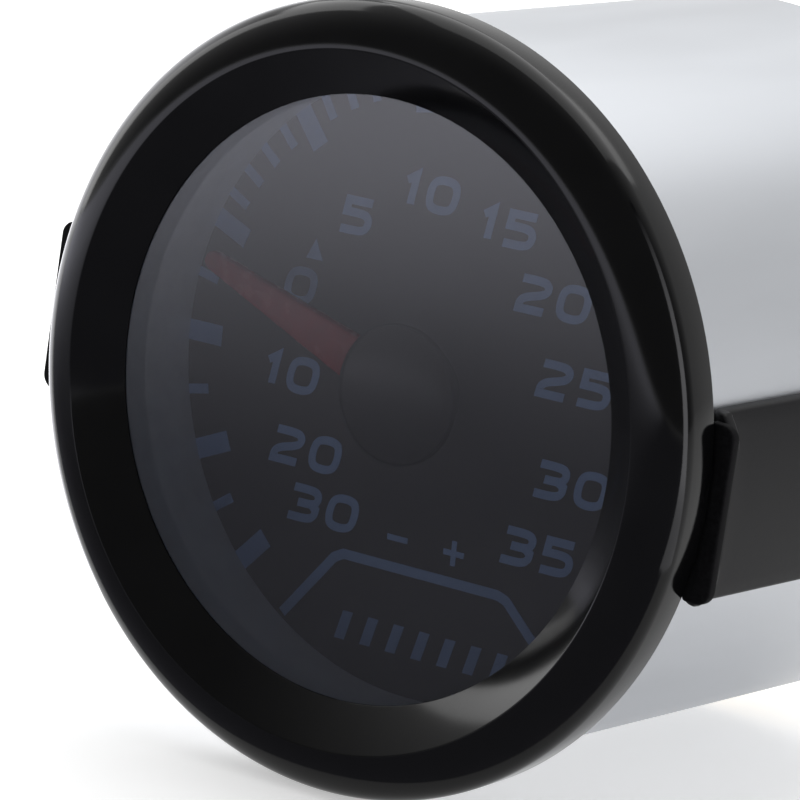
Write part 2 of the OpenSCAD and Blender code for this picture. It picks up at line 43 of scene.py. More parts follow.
# Depths, radii and places on the gauge in millimetres, the same as on the built part
CASE_R = 26.0
CASE_IN = 25.2
CASE_BACK = 43.4
REAR_IN = 42.6
BEZEL_R = 27.85
BEZEL_BACK_R = 27.77
CREST_R = 24.4
CREST_Y = -4.9
OPENING_R = 21.2
SEAT_R = 26.8
SEAT_STEP_R = 26.3
LENS_R = 26.5
LENS_FRONT = -2.5
LENS_BACK = -1.5
FLANGE_R = 26.5
FLANGE_FRONT = -1.1
FLANGE_BACK = -0.5
DIAL_Y = 6.0
REST_ANGLE = -71.0
STRAP_HALF = 6.75
STRAP_THICK = 1.1
ARM_OUT_R = 28.5
BAR_BACK = 47.4
BRACKET_ANGLE = 3.3
BRACKET_LEFT = 1.1
BRACKET_DROP = 0.9
PORT_Z = -15.0
GROMMET_Z = 15.0
STUD_X = 12.0
STUD_R = 2.0
STUD_END = 61.3
THUMB_FRONT = 48.3


def polar(r, a):
    """A point at a radius and a clockwise angle from the top, as seen from the front."""
    return r * math.sin(math.radians(a)), r * math.cos(math.radians(a))


def finish_mesh(bm, name, sharp=35.0):
    """Turns a bmesh in millimetres into a smooth mesh in metres with sharp edges where faces bend."""
    bmesh.ops.remove_doubles(bm, verts=bm.verts, dist=0.0004)
    bmesh.ops.recalc_face_normals(bm, faces=bm.faces)
    bmesh.ops.scale(bm, vec=(MM, MM, MM), verts=bm.verts)
    mesh = bpy.data.meshes.new(name)
    bm.to_mesh(mesh)
    bm.free()
    mesh.polygons.foreach_set("use_smooth", [True] * len(mesh.polygons))
    mesh.set_sharp_from_angle(angle=math.radians(sharp))
    return mesh


def make_object(bm, name, body, material, nodes=(), sharp=35.0):
    """Makes a piece from a bmesh in millimetres and lets it ride on a body."""
    mesh = finish_mesh(bm, name, sharp)
    piece = bpy.data.objects.new(name, mesh)
    bpy.context.scene.collection.objects.link(piece)
    mesh.materials.append(material)
    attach(piece, body)
    if nodes:
        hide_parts(*nodes)


def arc(centre, r, start, end, steps):
    """Points on an arc in a profile, angles in degrees from the first axis."""
    points = []
    for i in range(steps + 1):
        a = math.radians(start + (end - start) * i / steps)
        points.append((centre[0] + r * math.cos(a), centre[1] + r * math.sin(a)))
    return points


def rounded(points, radii, steps=5):
    """A closed profile with its corners rounded by the given radii."""
    out = []
    count = len(points)
    for i, p in enumerate(points):
        r = radii[i] if isinstance(radii, (list, tuple)) else radii
        here = Vector(p)
        back = Vector(points[i - 1]) - here
        on = Vector(points[(i + 1) % count]) - here
        if r <= 0 or back.length < 1e-6 or on.length < 1e-6:
            out.append(tuple(here))
            continue
        back_n = back.normalized()
        on_n = on.normalized()
        half = math.acos(max(-1.0, min(1.0, back_n.dot(on_n)))) / 2
        if half > math.radians(88) or half < math.radians(2):
            out.append(tuple(here))
            continue
        reach = min(r / math.tan(half), back.length * 0.49, on.length * 0.49)
        real = reach * math.tan(half)
        middle = here + (back_n + on_n).normalized() * (real / math.sin(half))
        a = here + back_n * reach - middle
        b = here + on_n * reach - middle
        turn = math.atan2(a.x * b.y - a.y * b.x, a.dot(b))
        for k in range(steps + 1):
            t = turn * k / steps
            out.append((middle.x + a.x * math.cos(t) - a.y * math.sin(t),
                        middle.y + a.x * math.sin(t) + a.y * math.cos(t)))
    return out


def spin_profile(bm, profile, at=(0.0, 0.0), count=ROUND):
    """Spins a closed profile of (radius, depth) about an axis along Y through at."""
    verts = [bm.verts.new((at[0], y, at[1] + r)) for r, y in profile]
    edges = []
    for i, point in enumerate(profile):
        on_axis = point[0] < 1e-6 and profile[i - 1][0] < 1e-6
        if not on_axis:
            edges.append(bm.edges.new((verts[i - 1], verts[i])))
    bmesh.ops.spin(bm, geom=verts + edges, cent=(at[0], 0.0, at[1]), axis=(0.0, 1.0, 0.0),
                   angle=math.radians(360), steps=count, use_merge=True)


def spun(name, profile, body, material, nodes, at=(0.0, 0.0), count=ROUND, sharp=35.0):
    """A piece turned on a lathe."""
    bm = bmesh.new()
    spin_profile(bm, profile, at, count)
    make_object(bm, name, body, material, nodes, sharp)


def ring(bm, at, radii, y):
    """A loop of vertices round an axis along Y through at, one for each radius."""
    loop = []
    for k, r in enumerate(radii):
        a = 2 * math.pi * k / len(radii)
        loop.append(bm.verts.new((at[0] + r * math.sin(a), y, at[1] + r * math.cos(a))))
    return loop


def skin(bm, loops, closed=False, capped=False):
    """Faces from each loop to the next: back to the first if closed, with a face on each end if capped."""
    pairs = list(zip(loops, loops[1:]))
    if closed:
        pairs.append((loops[-1], loops[0]))
    for a, b in pairs:
        count = len(a)
        for k in range(count):
            n = (k + 1) % count
            bm.faces.new((a[k], b[k], b[n], a[n]))
    if capped:
        bm.faces.new(loops[0])
        bm.faces.new(list(reversed(loops[-1])))


def prism(bm, outline, front, back, bevel=0.0, steps=2):
    """A plate from an outline seen from the front, its rims softened if a bevel is given."""
    layers = [(front, 0.0), (back, 0.0)]
    if bevel > 0:
        near = []
        for k in range(steps, -1, -1):
            a = math.radians(90 * k / steps)
            near.append((front + bevel * (1 - math.sin(a)), bevel * (1 - math.cos(a))))
        layers = near + [(back - (y - front), inset) for y, inset in reversed(near)]
    loops = []
    for y, inset in layers:
        rim = inset_outline(outline, inset) if inset > 0 else outline
        loops.append([bm.verts.new((p[0], y, p[1])) for p in rim])
    skin(bm, loops, capped=True)


def inset_outline(outline, inset):
    """The outline moved inwards by a distance along the mean normal of each corner."""
    area = sum(outline[i - 1][0] * p[1] - p[0] * outline[i - 1][1] for i, p in enumerate(outline))
    side = 1.0 if area > 0 else -1.0
    moved = []
    count = len(outline)
    for i, p in enumerate(outline):
        before = Vector(p) - Vector(outline[i - 1])
        after = Vector(outline[(i + 1) % count]) - Vector(p)
        if before.length < 1e-9:
            before = after
        if after.length < 1e-9:
            after = before
        n1 = Vector((-before.y, before.x)).normalized() * side
        n2 = Vector((-after.y, after.x)).normalized() * side
        mean = n1 + n2
        if mean.length < 1e-6:
            moved.append(tuple(p))
            continue
        mean.normalize()
        scale = inset / max(0.5, mean.dot(n1))
        moved.append((p[0] + mean.x * scale, p[1] + mean.y * scale))
    return moved


def turned_points(points, angle, at=(0.0, 0.0)):
    """Outline points turned clockwise, as seen from the front, and moved."""
    a = math.radians(angle)
    return [(at[0] + x * math.cos(a) + z * math.sin(a), at[1] - x * math.sin(a) + z * math.cos(a))
            for x, z in points]


# Materials

def new_material(name):
    """A Principled material with its nodes at hand."""
    material = bpy.data.materials.new(name)
    material.use_nodes = True
    tree = material.node_tree
    shader = next(n for n in tree.nodes if n.type == "BSDF_PRINCIPLED")
    return material, tree, shader


def noise_mask(tree, scale, detail=3.0, stretch=(1.0, 1.0, 1.0)):
    """A noise value read from the piece's own coordinates, which are in metres."""
    place = tree.nodes.new("ShaderNodeTexCoord")
    mapping = tree.nodes.new("ShaderNodeMapping")
    mapping.inputs["Scale"].default_value = stretch
    noise = tree.nodes.new("ShaderNodeTexNoise")
    noise.inputs["Scale"].default_value = scale
    noise.inputs["Detail"].default_value = detail
    tree.links.new(place.outputs["Object"], mapping.inputs["Vector"])
    tree.links.new(mapping.outputs["Vector"], noise.inputs["Vector"])
    return noise.outputs["Fac"]


def ramp(tree, value, low, high, start=0.35, end=0.65):
    """A colour that runs from low to high with a value."""
    node = tree.nodes.new("ShaderNodeValToRGB")
    node.color_ramp.elements[0].position = start
    node.color_ramp.elements[0].color = (*low, 1.0)
    node.color_ramp.elements[1].position = end
    node.color_ramp.elements[1].color = (*high, 1.0)
    tree.links.new(value, node.inputs["Fac"])
    return node.outputs["Color"]


def spread(tree, value, low, high):
    """A number that runs from low to high with a value."""
    node = tree.nodes.new("ShaderNodeMapRange")
    node.inputs["From Min"].default_value = 0.3
    node.inputs["From Max"].default_value = 0.7
    node.inputs["To Min"].default_value = low
    node.inputs["To Max"].default_value = high
    tree.links.new(value, node.inputs["Value"])
    return node.outputs["Result"]


def bump(tree, shader, value, strength, distance):
    """A fine relief from a value."""
    node = tree.nodes.new("ShaderNodeBump")
    node.inputs["Strength"].default_value = strength
    node.inputs["Distance"].default_value = distance
    tree.links.new(value, node.inputs["Height"])
    tree.links.new(node.outputs["Normal"], shader.inputs["Normal"])


def surface(name, colour, other, rough, metal=0.0, grain=900.0, relief=0.0, stretch=(1.0, 1.0, 1.0),
            spec=0.5):
    """A material whose colour, roughness and relief vary a little over the piece."""
    material, tree, shader = new_material(name)
    mask = noise_mask(tree, grain, 4.0, stretch)
    tree.links.new(ramp(tree, mask, colour, other), shader.inputs["Base Color"])
    tree.links.new(spread(tree, mask, rough[0], rough[1]), shader.inputs["Roughness"])
    shader.inputs["Metallic"].default_value = metal
    shader.inputs["Specular IOR Level"].default_value = spec
    if relief > 0:
        bump(tree, shader, mask, relief, 0.00002)
    material.diffuse_color = (*colour, 1.0)
    return material


BLACK_GLOSS = surface("bezel_black_paint", (0.0030, 0.0030, 0.0034), (0.0040, 0.0040, 0.0045),
                      (0.09, 0.12), grain=220.0, relief=0.01, spec=0.18)
STRAP_BLACK = surface("strap_black_paint", (0.007, 0.007, 0.008), (0.010, 0.010, 0.0115), (0.42, 0.50),
                      grain=2600.0, relief=0.06, spec=0.10)
RUBBER = surface("black_rubber_pad", (0.004, 0.004, 0.0045), (0.008, 0.008, 0.009), (0.62, 0.75),
                 grain=4200.0, relief=0.25, spec=0.05)
CASE_METAL = surface("drawn_bright_case", (0.49, 0.505, 0.53), (0.51, 0.525, 0.55), (0.42, 0.46), metal=1.0,
                     grain=240.0, stretch=(1.0, 0.15, 1.0))
SPACER_PLASTIC = surface("pale_spacer_plastic", (0.50, 0.56, 0.66), (0.56, 0.62, 0.72), (0.35, 0.45),
                         grain=600.0)
DIAL_FILM = surface("dial_dark_film", (0.060, 0.060, 0.070), (0.070, 0.070, 0.081), (0.55, 0.65),
                    grain=5200.0, relief=0.05)
DIAL_INK = surface("dial_pale_ink", (0.32, 0.50, 0.94), (0.35, 0.53, 0.97), (0.45, 0.55), grain=4200.0)
CLEAR = surface("guide_clear_plastic", (0.82, 0.88, 0.90), (0.88, 0.92, 0.94), (0.08, 0.14), grain=300.0)
WHITE = surface("housing_white_plastic", (0.74, 0.74, 0.72), (0.80, 0.80, 0.78), (0.40, 0.50))
BOARD = surface("board_green_mask", (0.02, 0.12, 0.05), (0.03, 0.17, 0.07), (0.30, 0.42), grain=700.0)
LAMP = surface("lamp_pale_resin", (0.82, 0.78, 0.58), (0.90, 0.86, 0.68), (0.15, 0.25), grain=1500.0)
CAP_BLACK = surface("cap_black_plastic", (0.0090, 0.0090, 0.0100), (0.0095, 0.0095, 0.0105), (0.24, 0.26),
                    grain=1800.0)
STEEL = surface("turned_steel", (0.50, 0.50, 0.51), (0.60, 0.60, 0.61), (0.28, 0.38), metal=1.0, grain=1600.0)
SPRING = surface("blue_spring_steel", (0.34, 0.37, 0.45), (0.42, 0.45, 0.52), (0.25, 0.35), metal=1.0,
                 grain=1600.0)
ZINC = surface("zinc_plated_steel", (0.62, 0.63, 0.64), (0.65, 0.66, 0.67), (0.26, 0.30), metal=1.0,
               grain=600.0)
BRASS = surface("turned_brass", (0.66, 0.49, 0.22), (0.69, 0.52, 0.24), (0.26, 0.30), metal=1.0,
                grain=600.0)
BRONZE = surface("drawn_bronze", (0.58, 0.36, 0.18), (0.68, 0.44, 0.23), (0.26, 0.38), metal=1.0)


def smoked_plastic():
    """The lens: dark see-through plastic with a polished face."""
    material, tree, shader = new_material("smoked_lens_plastic")
    mask = noise_mask(tree, 30.0, 1.0)
    tree.links.new(ramp(tree, mask, (0.010, 0.011, 0.014), (0.013, 0.014, 0.018)),
                   shader.inputs["Base Color"])
    shader.inputs["Roughness"].default_value = 0.04
    shader.inputs["IOR"].default_value = 1.5
    shader.inputs["Alpha"].default_value = 0.40
    shader.inputs["Specular IOR Level"].default_value = 1.0
    return material


def red_plastic():
    """The pointer: red plastic that lets some light through."""
    material, tree, shader = new_material("pointer_red_plastic")
    mask = noise_mask(tree, 500.0, 3.0)
    tree.links.new(ramp(tree, mask, (0.42, 0.035, 0.05), (0.50, 0.05, 0.065)), shader.inputs["Base Color"])
    tree.links.new(spread(tree, mask, 0.22, 0.30), shader.inputs["Roughness"])
    shader.inputs["Alpha"].default_value = 0.85
    return material


LENS_PLASTIC = smoked_plastic()
RED_PLASTIC = red_plastic()


# Bezel, lens and case

def build_bezel():
    """The turned ring: a wall that rounds over to the crest, a sloping inner face and a stepped seat."""
    half_high = CREST_Y / 2
    lip = 0.12
    profile = [(BEZEL_BACK_R, 0.0)]
    for i in range(29):
        a = math.radians(90 * i / 28)
        profile.append((CREST_R + (BEZEL_R - CREST_R) * math.cos(a), half_high * (1 + math.sin(a))))
    slope = [(CREST_R, CREST_Y), (OPENING_R, LENS_FRONT - lip), (OPENING_R, LENS_FRONT)]
    profile += rounded(slope, [0.0, lip, 0.0], 4)[1:]
    profile += [(SEAT_R, LENS_FRONT), (SEAT_R, FLANGE_BACK), (SEAT_STEP_R, FLANGE_BACK), (SEAT_STEP_R, 0.0)]
    corners = {(CREST_R, CREST_Y): 0.28, (SEAT_STEP_R, 0.0): 0.1, (BEZEL_BACK_R, 0.0): 0.15}
    spun("bezel_ring_turned", soften(profile, corners), "housing", BLACK_GLOSS, ("bezel_ring",),
         count=256, sharp=40.0)


def soften(points, corners):
    """Rounds the given corners of a profile, each by its own radius."""
    radii = []
    for p in points:
        found = 0.0
        for corner, r in corners.items():
            if abs(corner[0] - p[0]) < 1e-4 and abs(corner[1] - p[1]) < 1e-4:
                found = r
        radii.append(found)
    return rounded(points, radii)


def build_lens():
    """The flat lens with a small chamfer on its rim."""
    face_r = LENS_R - 0.2
    chamfer = 0.15
    profile = [(0.0, LENS_FRONT), (face_r, LENS_FRONT), (LENS_R, LENS_FRONT + chamfer),
               (LENS_R, LENS_BACK - chamfer), (face_r, LENS_BACK), (0.0, LENS_BACK)]
    spun("lens_disc", profile, "housing", LENS_PLASTIC, ("lens",))


def build_case():
    """The drawn case tube with its front flange, its inner bead and its rolled rear rim."""
    roll = 0.7
    bead_r = 24.2
    bead_front = 13.4
    bead_back = 14.2
    tube = [(CASE_IN, FLANGE_FRONT), (FLANGE_R, FLANGE_FRONT), (FLANGE_R, FLANGE_BACK), (CASE_R, FLANGE_BACK)]
    tube += arc((CASE_R - roll, CASE_BACK - roll), roll, 0, 90, 8)
    tube += [(CASE_IN, CASE_BACK), (CASE_IN, bead_back), (bead_r, bead_back), (bead_r, bead_front),
             (CASE_IN, bead_front)]
    spun("case_tube_drawn", tube, "housing", CASE_METAL, ("case_tube",), count=256)


# Dial print

DIGITS = {
    "0": [[(0, 0.5), (0, 2.0), (0.5, 2.5), (1.7, 2.5), (2.2, 2.0), (2.2, 0.5), (1.7, 0), (0.5, 0), (0, 0.5)]],
    "1": [[(0.25, 1.95), (0.95, 2.5), (0.95, 0.0)]],
    "2": [[(-0.1, 2.5), (1.75, 2.5), (2.2, 2.15), (2.2, 1.7), (1.8, 1.35), (0.5, 1.0), (0.05, 0.6),
           (0.05, 0.0), (2.2, 0.0)]],
    "3": [[(-0.1, 2.5), (1.75, 2.5), (2.2, 2.15), (2.2, 1.6), (1.8, 1.28), (0.5, 1.28)],
          [(1.7, 1.28), (2.2, 0.95), (2.2, 0.4), (1.75, 0.0), (-0.1, 0.0)]],
    "5": [[(2.2, 2.5), (0.1, 2.5), (0.1, 1.5), (1.75, 1.5), (2.2, 1.1), (2.2, 0.4), (1.75, 0.0),
           (-0.1, 0.0)]],
}
DIGIT_WIDTH = {"0": 2.2, "1": 1.2, "2": 2.2, "3": 2.2, "5": 2.2}
STROKE = 0.62
DIGIT_TALL = 0.86
DIGIT_MIDDLE = 1.25 * DIGIT_TALL
DIGIT_GAP = 0.62
SLANT = 0.19

# The scale's numbers, and how far right of and above the dial's centre the middle of each lies
NUMBERS = [("5", (-8.3, 10.85)), ("10", (-2.2, 13.6)), ("15", (4.7, 12.4)), ("20", (9.3, 8.15)),
           ("25", (11.8, 2.6)), ("30", (12.4, -4.4)), ("35", (10.15, -9.6)), ("0", (-12.7, 5.0)),
           ("10", (-12.95, -1.4)), ("20", (-10.8, -6.65)), ("30", (-8.8, -10.5))]
ZERO_ANGLE = -67.5
RIGHT_SWEEP = 202.5
RIGHT_STEPS = 35
LEFT_SWEEP = -67.5
LEFT_STEPS = 6
TICK_OUT = 23.2

PRINT_FRONT = DIAL_Y - 0.04
PRINT_BACK = DIAL_Y - 0.005


def stroke_outline(points, width):
    """A mitred band along a line of points, and whether the line is closed."""
    closed = points[0] == points[-1]
    line = points[:-1] if closed else points
    count = len(line)
    left = []
    right = []
    for i, p in enumerate(line):
        here = Vector(p)
        before = here - Vector(line[i - 1]) if closed or i > 0 else None
        after = Vector(line[(i + 1) % count]) - here if closed or i < count - 1 else None
        if before is None:
            before = after
        if after is None:
            after = before
        n1 = Vector((-before.y, before.x)).normalized()
        n2 = Vector((-after.y, after.x)).normalized()
        mean = (n1 + n2).normalized()
        reach = width / 2 / max(0.45, mean.dot(n1))
        left.append(here + mean * reach)
        right.append(here - mean * reach)
    return left, right, closed


def add_band(bm, points, width, place=tuple, lift=0.0):
    """A raised band of print along a line of points, each moved by place."""
    left, right, closed = stroke_outline(points, width)
    front = PRINT_FRONT - lift
    rows = []
    for a, b in zip(left, right):
        xa, za = place(a)
        xb, zb = place(b)
        corners = ((xa, front, za), (xb, front, zb), (xb, PRINT_BACK, zb), (xa, PRINT_BACK, za))
        rows.append([bm.verts.new(corner) for corner in corners])
    skin(bm, rows, closed=closed, capped=not closed)


def add_shape(bm, outline):
    """A raised flat shape of print."""
    prism(bm, outline, PRINT_FRONT, PRINT_BACK)


def smooth_line(points, rounds=2):
    """Cuts the blunt corners of a line again and again, and leaves its sharp corners and its ends."""
    closed = points[0] == points[-1]
    line = points[:-1] if closed else points
    for _ in range(rounds):
        count = len(line)
        out = []
        for i, p in enumerate(line):
            if not closed and i in (0, count - 1):
                out.append(p)
                continue
            here = Vector(p)
            before = Vector(line[i - 1])
            after = Vector(line[(i + 1) % count])
            if (here - before).angle(after - here) > math.radians(58):
                out.append(p)
                continue
            out.append(tuple(here.lerp(before, 0.25)))
            out.append(tuple(here.lerp(after, 0.25)))
        line = out
    return line + [line[0]] if closed else line


def add_number(bm, text, centre):
    """A slanted number centred on a point of the dial."""
    width = sum(DIGIT_WIDTH[c] for c in text)
    width += DIGIT_GAP * (len(text) - 1) + STROKE * len(text)
    cursor = -width / 2
    for c in text:
        start = cursor + STROKE / 2

        def place(p, start=start):
            x = start + p[0]
            z = p[1] - DIGIT_MIDDLE
            return centre[0] + x + SLANT * z, centre[1] + z

        for k, line in enumerate(DIGITS[c]):
            drawn = smooth_line([(x, z * DIGIT_TALL) for x, z in line])
            add_band(bm, drawn, STROKE, place, 0.003 * k)
        cursor += DIGIT_WIDTH[c] + STROKE + DIGIT_GAP


def build_dial():
    """The printed face: numerals, scale ticks, and a border line with a marker and plain signs."""
    bm = bmesh.new()
    for text, centre in NUMBERS:
        add_number(bm, text, centre)
    make_object(bm, "dial_numerals", "housing", DIAL_INK)
    bm = bmesh.new()
    ticks = [(ZERO_ANGLE + RIGHT_SWEEP * i / RIGHT_STEPS, i % 5 == 0) for i in range(RIGHT_STEPS + 1)]
    ticks += [(ZERO_ANGLE + LEFT_SWEEP * i / LEFT_STEPS, i % 2 == 0) for i in range(1, LEFT_STEPS + 1)]
    for angle, major in ticks:
        inner = 19.4 if major else 20.6
        half = 0.75 if major else 0.36
        tick = [(-half, inner), (half, inner), (half, TICK_OUT), (-half, TICK_OUT)]
        add_shape(bm, turned_points(tick, angle))
    make_object(bm, "dial_scale_ticks", "housing", DIAL_INK)
    bm = bmesh.new()
    marker = [(-0.75, -0.65), (0.0, 0.85), (0.75, -0.65)]
    add_shape(bm, turned_points(marker, 0.0, (-11.7, 7.75)))
    border = [(-11.6, -18.75), (-7.4, -13.75), (-6.6, -13.35), (7.1, -13.35), (7.9, -13.6), (10.8, -16.25)]
    add_band(bm, border, 0.74)
    bar_low = -19.5
    bar_high = -17.4
    for k in range(7):
        x = -6.2 + 2.3 * k
        add_shape(bm, [(x - 0.55, bar_low), (x + 0.35, bar_low), (x + 0.95, bar_high), (x + 0.05, bar_high)])
    sign_z = -11.25
    sign_half = 0.9
    sign_wide = 0.42
    minus_x = -2.0
    plus_x = 3.0
    for x in (minus_x, plus_x):
        add_band(bm, [(x - sign_half, sign_z), (x + sign_half, sign_z)], sign_wide)
    add_band(bm, [(plus_x, sign_z + sign_half), (plus_x, sign_z - sign_half)], sign_wide, lift=0.004)
    make_object(bm, "dial_border_print", "housing", DIAL_INK)


# Pointer

def build_pointer():
    """The tapered blade with softened rims, and the domed cap over its hub."""
    length = 19.6
    tip = 0.7
    root_r = 3.0
    root_half = 1.85
    front = 2.0
    back = 2.9
    outline = []
    for k in range(9):
        a = math.radians(180 * k / 8)
        outline.append((tip * math.cos(a), length - tip + tip * math.sin(a)))
    start = math.degrees(math.asin(root_half / root_r))
    for k in range(25):
        a = math.radians(-start - (360 - 2 * start) * k / 24)
        outline.append((root_r * math.sin(a), root_r * math.cos(a)))
    bm = bmesh.new()
    prism(bm, turned_points(outline, REST_ANGLE), front, back, 0.2, 3)
    make_object(bm, "pointer_blade_moulded", "pointer_set", RED_PLASTIC, ("pointer_blade",),
                sharp=30.0)
    cap_r = 5.0
    rim = 0.25
    dome_y = 1.4
    dome_high = 1.0
    cap = [(0.0, front), (cap_r - rim, front)]
    cap += arc((cap_r - rim, front - rim), rim, 90, 0, 4)[1:]
    cap.append((cap_r, dome_y))
    for i in range(1, 15):
        a = math.radians(6 * i)
        cap.append((cap_r * math.cos(a), dome_y - dome_high * math.sin(a)))
    cap.append((0.0, dome_y - dome_high))
    spun("pointer_cap_dome", cap, "pointer_set", CAP_BLACK, ("pointer_cap",), count=96)


# Clamp bracket

def put_on_bracket(bm):
    """Turns a piece drawn level and centred to the bracket's own angle and place on the studs."""
    bmesh.ops.rotate(bm, cent=(0, 0, 0), matrix=Matrix.Rotation(math.radians(BRACKET_ANGLE), 3, "Y"),
                     verts=bm.verts)
    bmesh.ops.translate(bm, vec=(-BRACKET_LEFT, 0.0, -BRACKET_DROP), verts=bm.verts)


def build_bracket():
    """The bent strap: feet turned out in front, arms along the case and a bar across the back."""
    section = rounded([(-STRAP_HALF, 0.0), (STRAP_HALF, 0.0), (STRAP_HALF, STRAP_THICK),
                       (-STRAP_HALF, STRAP_THICK)], 0.32, 3)
    dense = []
    for i, p in enumerate(section):
        n = section[(i + 1) % len(section)]
        steps = 14 if abs(n[0] - p[0]) > 3 else 1
        for k in range(steps):
            t = k / steps
            dense.append((p[0] + (n[0] - p[0]) * t, p[1] + (n[1] - p[1]) * t))
    stations = [("foot", 0.0)]
    for kind, steps in (("foot", 8), ("bend", 10), ("arm", 20), ("corner", 12), ("bar", 8)):
        for k in range(1, steps + 1):
            stations.append((kind, k / steps))
    arm_in = ARM_OUT_R - STRAP_THICK
    foot_out = 29.1
    foot_half = 6.15
    foot_round = 1.6
    bend_in = 0.5
    bend_y = 2.3 + bend_in
    corner_out = 2.0
    corner_in = corner_out - STRAP_THICK
    corner_y = BAR_BACK - corner_out
    corner_x = ARM_OUT_R - corner_out

    def place(kind, t, z, d):
        """A point of the strap on the right side: z across, d through the sheet from the case's side."""
        outer_x = math.sqrt(ARM_OUT_R ** 2 - z ** 2)
        if kind == "foot":
            start = outer_x + bend_in
            x = foot_out + (start - foot_out) * t
            y = bend_y - bend_in - STRAP_THICK + d
            inset = (STRAP_HALF - foot_half) * (1 - t)
            corner = foot_out - foot_round
            if x > corner:
                inset += foot_round - math.sqrt(max(0.0, foot_round ** 2 - (x - corner) ** 2))
            return x, y, z * (STRAP_HALF - inset) / STRAP_HALF
        if kind == "bend":
            a = math.radians(90 * t)
            r = bend_in + STRAP_THICK - d
            return outer_x + bend_in - r * math.sin(a), bend_y - r * math.cos(a), z
        if kind == "arm":
            r = arm_in + d
            y = bend_y + (corner_y - bend_y) * t
            return math.sqrt(r * r - z * z), y, z
        if kind == "corner":
            a = math.radians(90 * t)
            r = corner_in + d
            reach = corner_x + r * math.cos(a)
            return math.sqrt(reach * reach - z * z), corner_y + r * math.sin(a), z
        return math.sqrt(corner_x * corner_x - z * z) * (1 - t), corner_y + corner_in + d, z

    bm = bmesh.new()
    loops = []
    for side in (1, -1):
        chosen = stations if side == 1 else list(reversed(stations))[1:]
        for kind, t in chosen:
            loops.append([bm.verts.new((side * q[0], q[1], q[2]))
                          for q in [place(kind, t, z, d) for z, d in dense]])
    skin(bm, loops, capped=True)
    put_on_bracket(bm)
    make_object(bm, "clamp_strap", "clamp_set", STRAP_BLACK, ("clamp_bracket",), sharp=40.0)


def build_pads():
    """The moulded pads on the front of both feet, which reach past the metal on three sides."""
    inner = 27.6
    outer = 29.76
    half = 6.26
    front = 0.36
    back = 1.19
    corners = [(inner, -half), (outer, -half), (outer, half), (inner, half)]
    outline = rounded(corners, [0.3, 1.65, 1.65, 0.3], 8)
    bm = bmesh.new()
    for side in (1, -1):
        prism(bm, [(side * x, z) for x, z in outline], front, back, 0.16, 3)
    put_on_bracket(bm)
    make_object(bm, "foot_pads_moulded", "clamp_set", RUBBER, ("foot_pads",))


# Threads, nuts and rear fittings

STUDS = [polar(STUD_X, 90 + BRACKET_ANGLE + 180), polar(STUD_X, 90 + BRACKET_ANGLE)]


def thread_loops(bm, at, root_r, crest_r, front, back, pitch, around, fade_over):
    """The loops of a threaded rod, whose crests wind along it and fade at both ends."""
    flat = 0.12
    rows = int((back - front) / pitch * 6)
    loops = []
    for i in range(rows + 1):
        y = front + (back - front) * i / rows
        fade = max(0.0, min(1.0, min(y - front, back - y) / fade_over))
        radii = []
        for k in range(around):
            phase = (y / pitch - k / around) % 1.0
            crest = 1 - abs(2 * phase - 1)
            crest = max(0.0, min(1.0, (crest - flat) / (1 - 2 * flat)))
            radii.append(root_r + (crest_r - root_r) * crest * fade)
        loops.append(ring(bm, at, radii, y))
    return loops


def add_hex_nut(bm, at, flats, bore, front, back, angle, chamfer):
    """A hexagonal nut with chamfered corners on both faces and a small countersink in its bore."""
    count = 96
    sink = 0.25
    edge = []
    for k in range(count):
        a = (360 * k / count - angle) % 60 - 30
        edge.append(flats / 2 / math.cos(math.radians(a)))
    corner_r = flats / 2 / math.cos(math.radians(30))
    face_r = corner_r - chamfer * 1.6
    loops = []
    for y, most in ((front, face_r), (front + chamfer, corner_r), (back - chamfer, corner_r), (back, face_r)):
        loops.append(ring(bm, at, [min(r, most) for r in edge], y))
    for r, y in ((bore + sink, back), (bore, back - sink), (bore, front + sink), (bore + sink, front)):
        loops.append(ring(bm, at, [r] * count, y))
    skin(bm, loops, closed=True)


def add_thumb_nut(bm, at):
    """A knurled nut with a plain collar, a chamfered knurl and a countersunk bore."""
    dips = (0.0, 0.35, 1.0, 0.35) * 28
    knurl = 0.33
    knurl_r = 4.78
    knurl_in = 4.1
    chamfer = 0.45
    collar_r = 3.4
    bore = STUD_R + 0.05
    sink = 0.25
    front = THUMB_FRONT
    collar = front + 1.6
    back = front + 6.0
    rows = [(front, bore + sink, 0.0), (front, collar_r - 0.2, 0.0), (front + 0.2, collar_r, 0.0),
            (collar, collar_r, 0.0), (collar, knurl_in, 0.0), (collar + chamfer, knurl_r, knurl),
            (back - chamfer, knurl_r, knurl), (back, knurl_in, 0.0), (back, bore + sink, 0.0),
            (back - sink, bore, 0.0), (front + sink, bore, 0.0)]
    skin(bm, [ring(bm, at, [r - dip * depth for dip in dips], y) for y, r, depth in rows], closed=True)


